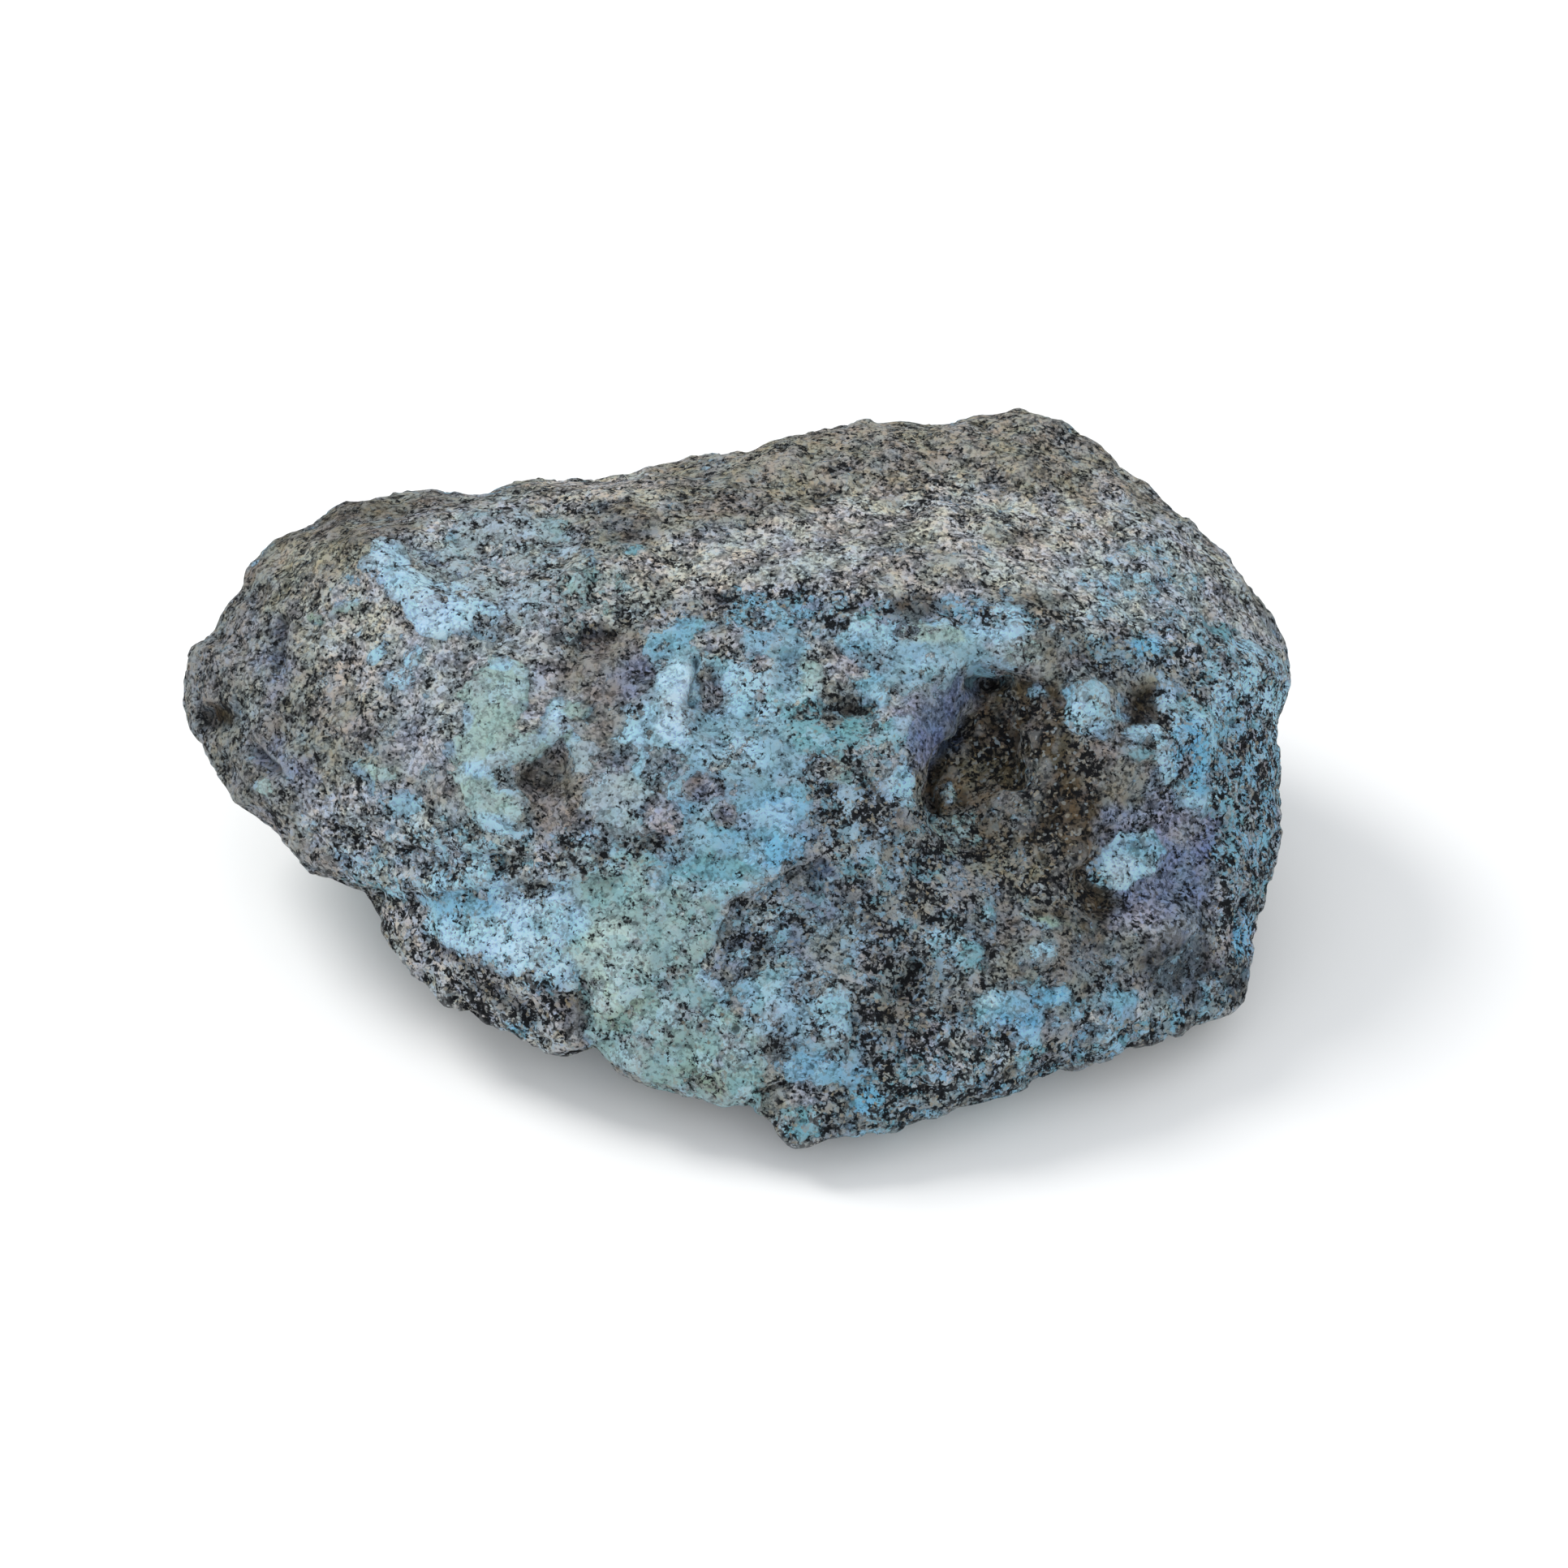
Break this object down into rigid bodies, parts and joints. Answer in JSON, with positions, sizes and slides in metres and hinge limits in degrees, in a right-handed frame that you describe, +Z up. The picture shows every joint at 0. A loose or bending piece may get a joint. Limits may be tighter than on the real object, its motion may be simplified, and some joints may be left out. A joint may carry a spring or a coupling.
{
  "type": "raw turquoise nugget",
  "caption": "Rough free-standing lump of raw turquoise in its host rock, with a broad broken front, a deep hollow at the foot of a steep wall, ledges and pits, resting on a flat broken face.",
  "frame": {"origin": "middle of the stone's box at its bottom, on the plane of the flat face it rests on", "axes": "+X to the right along the stone's length as its broad broken front is seen, +Y from that front to the back, +Z up from the flat face"},
  "size_m": [0.0954, 0.0628, 0.0357],
  "materials": {
    "stone": "rough, matte, speckled"
  },
  "bodies": {
    "root": {"stone": "stone"}
  },
  "joints": []
}
